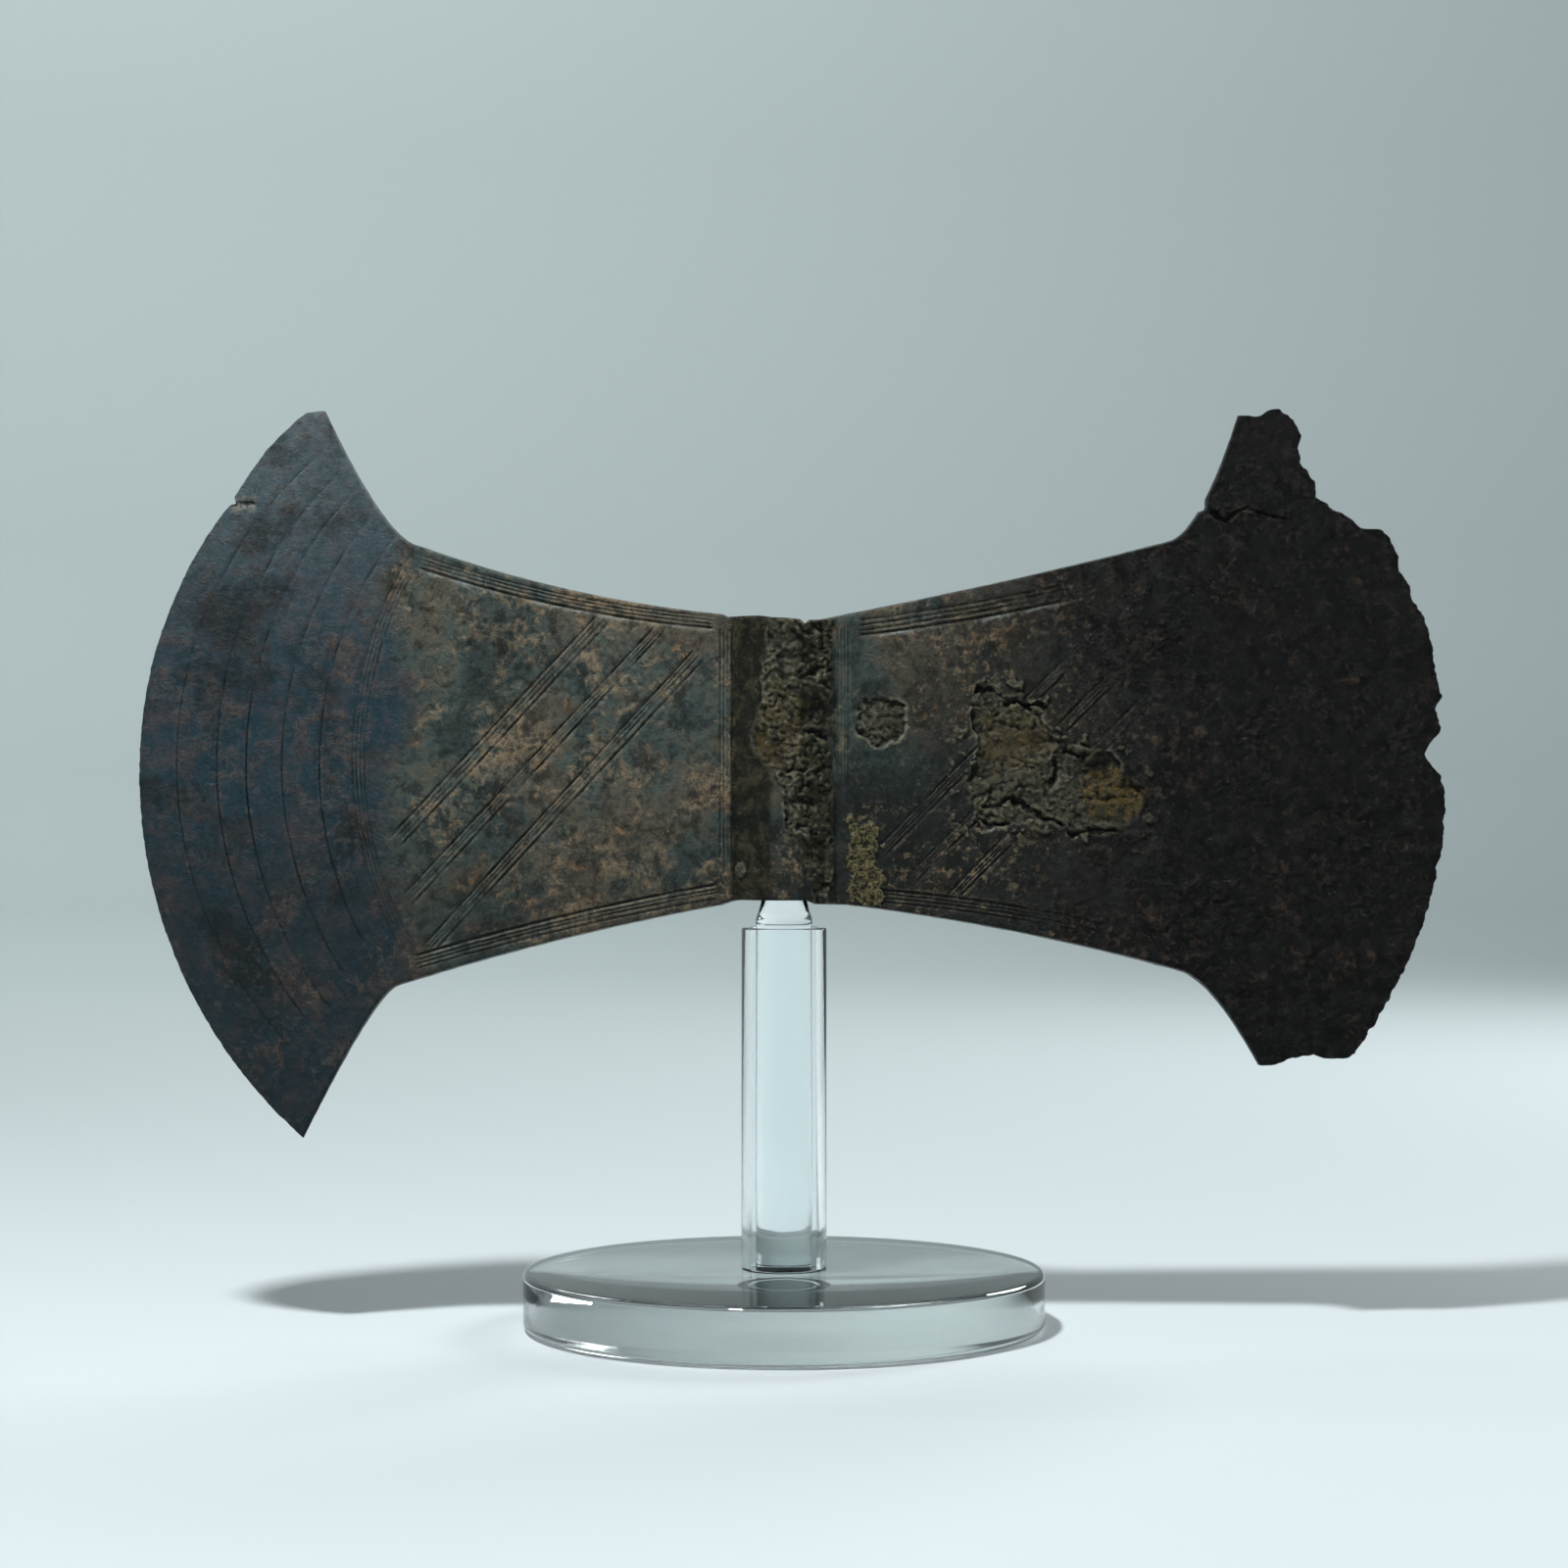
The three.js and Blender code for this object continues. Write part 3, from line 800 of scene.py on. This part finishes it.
def paintHead(piece):
    # stores at each point how far each finish, painted highlight and painted shade holds, for the bronze's
    # material
    points = meshPoints(piece.data) / mm
    x, y, z = points[:, 0], points[:, 1], points[:, 2] - socketMid / mm
    front = 1.0 * (y < 0)
    out = np.zeros_like(x)
    for side, relief in ((y < 0, frontRelief), (y >= 0, backRelief)):
        out[side] = standsOut(x[side], z[side], relief)
    masks = decayMasks(x, z)
    coolStart = 82 + 12 * noise(x, z, 26, 4, 501)
    ochre = np.zeros_like(x)
    for seed, (place, strength) in enumerate(decay["ochre"]):
        ochre = np.maximum(ochre, strength * oval(x, z, place, 1.0, 503 + 2 * seed))
    # the socket's left facet: its own dark brown tone, darkened further by painted shade
    shadedFacet = ease(-11.6, -10.8, x) * ease(-2.0, -3.4, x)
    paint = {
        "eaten": front * np.maximum.reduce([masks[k] for k in ("socket", "hollow", "flake", "outliers")]),
        "ochre": front * ochre,
        "sandy": front * masks["crust"],
        "worn": front * masks["dark"] + (1 - front) * backRough(x, z),
        "cool": ease(coolStart - 9, coolStart + 7, -x),
        "shadedFacet": shadedFacet * (0.5 + 0.5 * front) * (1 - front * masks["socket"]),
        # height of the eaten lumps: the material paints a highlight on their tops and shade in their pits
        "rise": np.where(front > 0, np.clip(0.5 + 0.6 * crumbledForm(x, z, masks), 0, 1), 0.5),
        # the chip's bare metal, painted pale as its glint
        "chip": front * oval(x, z, decay["chipEdge"], 0.5, 43),
        "out": out,
        # painted glint along the inner lip of the top borders
        "paintedGlint": front * borderGlintPaint(x, z) * (1 - masks["rough"]),
        # painted shade: darker towards the right and towards the bottom, as the lamp's light falls off
        "paintedFalloffShade": np.clip(ease(-24, 66, x - 0.4 * z) + 0.45 * ease(8, -34, z), 0, 1),
    }
    for name, values in paint.items():
        layer = piece.data.attributes.new(name, "FLOAT", "POINT")
        layer.data.foreach_set("value", np.asarray(values, np.float32))
    piece.data.polygons.foreach_set("use_smooth", np.ones(len(piece.data.polygons), bool))
    piece.data.set_sharp_from_angle(angle=math.radians(62))
    print("finishes stored:", len(paint))


class Nodes:
    # short hand for making and wiring shader nodes
    def __init__(self, name):
        self.material = bpy.data.materials.new(name)
        self.material.use_nodes = True
        self.tree = self.material.node_tree
        self.tree.nodes.clear()

    def add(self, kind, settings=None, **inputs):
        node = self.tree.nodes.new(kind)
        for key, value in (settings or {}).items():
            setattr(node, key, value)
        for key, value in inputs.items():
            self.feed(node.inputs[key.replace("_", " ")], value)
        return node

    def noise(self, vector, scale, detail=4.0, roughness=0.55, distortion=0.0):
        settings = {"Scale": scale, "Detail": detail, "Roughness": roughness, "Distortion": distortion}
        return self.add("ShaderNodeTexNoise", Vector=vector, **settings).outputs[0]

    def ramp(self, value, low, high, start=0.0, end=1.0):
        made = self.add("ShaderNodeMapRange", {"interpolation_type": "SMOOTHSTEP"}, Value=value)
        for place, given in enumerate((low, high, start, end), 1):
            made.inputs[place].default_value = given
        return made.outputs[0]

    def feed(self, socket, value):
        # a link, a finish's tint by its name, or a plain value
        if isinstance(value, bpy.types.NodeSocket):
            self.tree.links.new(value, socket)
        elif isinstance(value, str):
            socket.default_value = (*tint(*bronze[value]), 1)
        else:
            socket.default_value = (*value, 1) if socket.type == "RGBA" else value

    def math(self, kind, a, b):
        made = self.add("ShaderNodeMath", {"operation": kind})
        self.feed(made.inputs[0], a)
        self.feed(made.inputs[1], b)
        return made.outputs[0]

    def times(self, value, *others):
        for other in others:
            value = self.math("MULTIPLY", value, other)
        return value

    def plus(self, value, *others):
        for other in others:
            value = self.math("ADD", value, other)
        return value

    def mix(self, share, a, b):
        made = self.add("ShaderNodeMix", {"data_type": "RGBA"})
        for place, value in ((0, share), (6, a), (7, b)):
            self.feed(made.inputs[place], value)
        return made.outputs[2]

    def attribute(self, name):
        return self.add("ShaderNodeAttribute", {"attribute_name": name}).outputs["Fac"]

    def finish(self, shader):
        out = self.add("ShaderNodeOutputMaterial")
        self.tree.links.new(shader, out.inputs["Surface"])
        return self.material


def tint(red, green, blue):
    # a colour given as 0 to 255 screen values, as the linear values shaders take
    def linear(value):
        value /= 255
        return value / 12.92 if value <= 0.04045 else ((value + 0.055) / 1.055) ** 2.4
    return tuple(linear(v) for v in (red, green, blue))


# screen tints of the finishes, the painted highlights and the painted shade
bronze = {
    "slate": (28, 48, 56),
    "tip": (64, 76, 80),
    "purple": (46, 49, 53),
    "plum": (66, 58, 58),
    "scratch": (96, 102, 104),
    "green": (57, 69, 66),
    "brown": (75, 71, 61),
    "umber": (67, 60, 53),
    "tan": (136, 116, 90),
    "orange": (140, 108, 74),
    "shadedFacet": (14, 15, 9),
    "shadedFacetHigh": (46, 42, 28),
    "black": (19, 20, 18),
    "wornDark": (2, 2, 2),
    "rubbedAndHighlit": (124, 118, 100),
    "wornBrown": (62, 48, 36),
    "eatenLow": (8, 8, 5),
    "eatenHigh": (55, 53, 41),
    "paintedGlint": (126, 130, 126),
    "ochre": (80, 64, 30),
    "sandLow": (16, 15, 9),
    "sandHigh": (96, 88, 58),
    "chipMetalAndGlint": (112, 108, 104),
}


def bronzeMaterial():
    n = Nodes("patinated bronze")
    coords = n.add("ShaderNodeTexCoord").outputs["Object"]
    cool, worn, eaten, sandy = (n.attribute(k) for k in ("cool", "worn", "eaten", "sandy"))
    out, ochre, shadedFacet, rise, chip = (n.attribute(k) for k in ("out", "ochre", "shadedFacet", "rise", "chip"))
    paintedFalloffShade = n.attribute("paintedFalloffShade")
    rough = n.math("MAXIMUM", eaten, sandy)
    broad = n.noise(coords, 40, 9, 0.66, 0.3)
    patches = n.noise(coords, 105, 10, 0.70, 0.2)
    clusters = n.noise(coords, 70, 11, 0.74, 0.3)
    mottles = n.noise(coords, 260, 8, 0.72, 0.4)
    grains = n.noise(coords, 620, 6, 0.72)
    fine = n.noise(coords, 2000, 4, 0.65)
    # stretched noise for fine slanting scratches
    turned = n.add("ShaderNodeMapping", Vector=coords, Rotation=(0, 0.5, 0), Scale=(420, 700, 1500))
    scratches = n.noise(turned.outputs[0], 1, 5, 0.6)
    # borders between finishes broken up by the mottles
    jagged = n.math("SUBTRACT", n.times(n.plus(mottles, clusters), 1.7), 1.7)
    worn = n.ramp(n.plus(worn, jagged), 0.05, 1)
    cool = n.ramp(n.plus(cool, jagged), 0, 1)
    # ground colour: body and whole blade, each of mingling tones with dark clouds and mottles
    body = n.mix(n.ramp(broad, 0.44, 0.58), "green", "brown")
    body = n.mix(n.ramp(patches, 0.53, 0.61, 0, 0.6), body, "umber")
    blade = n.mix(n.ramp(patches, 0.46, 0.60), "slate", "purple")
    height = n.add("ShaderNodeSeparateXYZ", Vector=coords).outputs["Z"]
    # painted sheen: the whole blade lighter and bluer towards its top, as light from above falls on it
    blade = n.mix(n.ramp(height, 0.125, 0.19), blade, "tip")
    blade = n.mix(n.ramp(mottles, 0.48, 0.60, 0, 0.5), blade, "plum")
    strokes = n.times(n.ramp(scratches, 0.58, 0.70), n.ramp(patches, 0.50, 0.62))
    blade = n.mix(n.times(strokes, 0.35), blade, "scratch")
    colour = n.mix(cool, body, blade)
    # worn specks gathered in clusters: tan ones with a few of orange
    bare = n.ramp(cool, 0, 1, 1, 0.13)
    specks = n.times(n.ramp(clusters, 0.50, 0.60), n.ramp(mottles, 0.40, 0.56))
    colour = n.mix(n.times(specks, n.ramp(grains, 0.38, 0.58, 0.15, 0.8), bare), colour, "tan")
    specks = n.times(n.ramp(patches, 0.56, 0.66, 0, 0.6), n.ramp(grains, 0.52, 0.60), bare)
    colour = n.mix(specks, colour, "orange")
    colour = n.mix(n.ramp(broad, 0.36, 0.50, 0.65, 0), colour, "black")
    # painted shade, up to near black towards the right and the bottom
    colour = n.mix(n.ramp(paintedFalloffShade, 0, 1, 0, 0.84), colour, "black")
    spots = n.ramp(cool, 0, 1, 1, 0.4)
    colour = n.mix(n.times(n.ramp(mottles, 0.38, 0.52, 0.6, 0), spots), colour, "black")
    colour = n.mix(n.times(n.ramp(grains, 0.36, 0.50, 0.5, 0), spots), colour, "black")
    specks = n.times(n.ramp(grains, 0.53, 0.62), n.ramp(clusters, 0.44, 0.58))
    specks = n.times(specks, n.ramp(paintedFalloffShade, 0.1, 0.7, 0.12, 0.5), n.ramp(cool, 0, 1, 1, 0.3))
    colour = n.mix(specks, colour, "tan")
    # the left facet: its brown tone, darkened further by painted shade
    brownShadedFacet = n.mix(n.ramp(mottles, 0.46, 0.62), "shadedFacet", "shadedFacetHigh")
    colour = n.mix(n.times(shadedFacet, 0.9), colour, brownShadedFacet)
    # worn blade
    warm = n.times(n.ramp(clusters, 0.50, 0.62), n.ramp(mottles, 0.50, 0.60),
                   n.ramp(grains, 0.46, 0.58, 0.1, 0.8))
    warm = n.math("MAXIMUM", warm, n.ramp(grains, 0.58, 0.70, 0, 0.7))
    wornColour = n.mix(warm, "wornDark", "wornBrown")
    colour = n.mix(n.times(worn, 0.97), colour, wornColour)
    # eaten places: corrosion tones, with a painted highlight on the lumps and painted shade in the pits,
    # ochre in parts
    lumps = n.mix(n.ramp(rise, 0.36, 0.92), "eatenLow", "eatenHigh")
    lumps = n.mix(n.ramp(grains, 0.40, 0.52, 0.5, 0), lumps, "black")
    lumps = n.mix(n.times(ochre, n.ramp(grains, 0.40, 0.56, 0.1, 0.9)), lumps, "ochre")
    colour = n.mix(eaten, colour, lumps)
    sand = n.times(n.ramp(grains, 0.36, 0.54), n.ramp(fine, 0.38, 0.58))
    colour = n.mix(sandy, colour, n.mix(sand, "sandLow", "sandHigh"))
    # ridges paler, partly rubbed metal and partly painted highlight; grooves and pits darker with painted
    # shade
    ridgeWearAndHighlight = n.times(n.ramp(out, 0.03, 0.22, 0, 0.45), n.ramp(rough, 0, 1, 1, 0.6),
                     n.ramp(worn, 0, 1, 1, 0.14), n.ramp(mottles, 0.42, 0.56, 0.25, 1.2))
    colour = n.mix(ridgeWearAndHighlight, colour, "rubbedAndHighlit")
    # painted shade in the grooves and pits
    colour = n.mix(n.ramp(out, -0.22, -0.03, 0.9, 0), colour, "black")
    # painted glint along the inner lip of the top borders
    paintedGlint = n.times(n.attribute("paintedGlint"), n.ramp(mottles, 0.34, 0.5, 0.2, 0.8))
    colour = n.mix(paintedGlint, colour, "paintedGlint")
    # the chip's bare metal, painted pale as its glint
    colour = n.mix(n.times(chip, n.ramp(grains, 0.40, 0.52)), colour, "chipMetalAndGlint")
    # gloss: satin, broken by the grains; relief finer than the mesh
    gloss = n.ramp(grains, 0.3, 0.7, 0.16, 0.34)
    coarse = n.times(grains, n.plus(n.times(rough, 0.5), 0.7))
    coarse = n.plus(coarse, n.times(mottles, worn, 2.4))
    small = n.times(fine, n.plus(n.times(rough, 0.2), 0.3))
    soft = n.plus(n.times(mottles, 1.3), n.times(scratches, cool, 0.3))
    relief = n.plus(coarse, small, soft)
    bump = n.add("ShaderNodeBump", Strength=0.8, Distance=0.0004, Height=relief).outputs[0]
    shader = n.add("ShaderNodeBsdfPrincipled", Base_Color=colour, Roughness=gloss, Normal=bump,
                   Specular_IOR_Level=0.11)
    return n.finish(shader.outputs[0])


def acrylicMaterial():
    n = Nodes("clear acrylic")
    coords = n.add("ShaderNodeTexCoord").outputs["Object"]
    scratches = n.noise(coords, 900, 2, 0.5)
    bump = n.add("ShaderNodeBump", Strength=0.02, Distance=0.0002, Height=scratches).outputs[0]
    shader = n.add("ShaderNodeBsdfPrincipled", Base_Color=(0.95, 0.98, 0.98), Roughness=0.02, IOR=1.49,
                   Transmission_Weight=1.0, Normal=bump)
    return n.finish(shader.outputs[0])


stand = {
    "segments": 160,
    "rimRound": 0.35,
    "footRound": 1.4,
    "bore": 7.0,
    "rodTaperStart": 86.0,
    "rodTip": 3.7,
}


def turnedPiece(name, profile):
    # a profile of (radius, height) carried round the upright axis, closed at the axis or back to its start
    radii, heights = zip(*profile)
    points, index = rings(radii, heights, stand["segments"])
    if min(radii) > 0:
        index = np.concatenate([index, index[:1]], 0)
    piece = meshObject(name, points * mm, quads(index))
    closeMesh(piece.data)
    piece.data.set_sharp_from_angle(angle=math.radians(40))
    return piece


def roundedCorner(cx, cz, radius, start, end, steps=5):
    # points of a corner's arc about (cx, cz), angles in degrees
    angles = np.radians(np.linspace(start, end, steps))
    return [(cx + radius * math.cos(a), cz + radius * math.sin(a)) for a in angles]


def buildStand():
    # tube, rod and foot, sized from the frame, each a profile carried round the upright axis
    outer, top = tubeBox[1][0] / mm, tubeBox[1][2] / mm
    floor, r = tubeBox[0][2] / mm, stand["rimRound"]
    bore = stand["bore"]
    rim = roundedCorner(outer - r, top - r, r, 0, 90) + roundedCorner(bore + r, top - r, r, 90, 180)
    tube = turnedPiece("acrylic_tube", [(bore, floor), (outer, floor)] + rim)
    radius, rodTop = rodBox[1][0] / mm, rodBox[1][2] / mm
    taper, tip = stand["rodTaperStart"], stand["rodTip"]
    rod = turnedPiece("acrylic_rod", [
        (0, floor), (radius, floor), (radius, taper - 0.6), (radius - 0.08, taper),
        (radius - 0.5, taper + 1.2), (tip + 0.3, rodTop - 0.5), (tip, rodTop), (0, rodTop),
    ])
    wide, high, f = footBox[1][0] / mm, footBox[1][2] / mm, stand["footRound"]
    rim = roundedCorner(wide - f, f, f, -90, 0)[1:] + roundedCorner(wide - f, high - f, f, 0, 90)
    foot = turnedPiece("acrylic_foot", [(0, 0), (wide - f, 0)] + rim + [(0, high)])
    clear = acrylicMaterial()
    for piece, node in ((tube, "stand_tube"), (rod, "stand_rod"), (foot, "stand_foot")):
        piece.data.materials.append(clear)
        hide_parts(node)
    print("stand made")


room = {
    "floor": (0.44, 0.48, 0.49),
    "floorDrop": 0.0004,
    # (radius, height) from the middle of the floor up the wall, in metres
    "sweep": [
        (0.0001, 0), (0.3, 0), (0.8, 0), (1.4, 0), (1.9, 0.02), (2.2, 0.12), (2.4, 0.32), (2.5, 0.7),
        (2.5, 2.6),
    ],
    "segments": 96,
    "worldLight": 0.06,
    "worldColour": (0.80, 0.88, 0.92, 1),
    # place, what it faces, size, power and colour of each lamp
    "lamps": {
        "key": ((-0.24, -0.36, 0.84), (0, 0, 0.114), 0.08, 13.0, (0.95, 0.98, 1.0)),
        "fill": ((-1.3, -1.5, 0.5), (0, 0, 0.114), 1.0, 0.7, (0.92, 0.97, 1.0)),
        "behind": ((0.75, 0.75, 0.62), (0, 0, 0.114), 0.4, 9.0, (0.95, 0.98, 1.0)),
        "front wall": ((0.4, -1.0, 1.7), (0.4, -2.5, 0.6), 1.0, 9.0, (0.92, 1.0, 0.98)),
        "wall": ((-0.5, 1.0, 1.7), (-0.5, 2.5, 0.6), 1.0, 30.0, (0.92, 1.0, 0.98)),
    },
    # camera, in millimetres: width of what it sees at the object, its distance and its height
    "view": 331.2,
    "distance": 736.0,
    "aim": 114.3,
    "sensor": 36,
}


def buildRoom():
    # a pale floor that sweeps up into a wall all round, out of the way of every view
    points, index = rings(*zip(*room["sweep"]), room["segments"])
    points[:, 2] -= room["floorDrop"]
    mesh = bpy.data.meshes.new("floor")
    mesh.from_pydata(points.tolist(), [], quads(index).tolist())
    mesh.polygons.foreach_set("use_smooth", np.ones(len(mesh.polygons), bool))
    floor = newObject("floor", mesh)
    n = Nodes("pale floor")
    shader = n.add("ShaderNodeBsdfPrincipled", Base_Color=room["floor"], Roughness=0.7)
    mesh.materials.append(n.finish(shader.outputs[0]))
    print("room made")


def areaLight(name, place, target, size, power, colour):
    # a square lamp turned to its target
    lamp = bpy.data.lights.new(name, "AREA")
    lamp.size, lamp.energy, lamp.color = size, power, colour
    made = newObject(name, lamp)
    made.location = place
    made.rotation_euler = (Vector(target) - Vector(place)).to_track_quat("-Z", "Y").to_euler()


def buildLights():
    # the lamps, and a faint light from all round
    for name, settings in room["lamps"].items():
        areaLight(name, *settings)
    world = bpy.data.worlds.new("studio")
    world.use_nodes = True
    glow = world.node_tree.nodes["Background"]
    glow.inputs["Color"].default_value = room["worldColour"]
    glow.inputs["Strength"].default_value = room["worldLight"]
    bpy.context.scene.world = world
    print("lamps placed:", len(room["lamps"]))


def buildCamera():
    # level and straight in front, with a lens that gives the width of view at its distance
    camera = bpy.data.cameras.new("camera")
    camera.sensor_width = room["sensor"]
    camera.lens = room["sensor"] * room["distance"] / room["view"]
    made = newObject("camera", camera)
    made.location = (0.0, -room["distance"] * mm, room["aim"] * mm)
    made.rotation_euler = (math.pi / 2, 0, 0)
    bpy.context.scene.camera = made
    bpy.context.scene.view_settings.view_transform = "Standard"


axe = buildHead()
paintHead(axe)
axe.data.materials.clear()
axe.data.materials.append(bronzeMaterial())
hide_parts("axe_head")
buildStand()
buildRoom()
buildLights()
buildCamera()
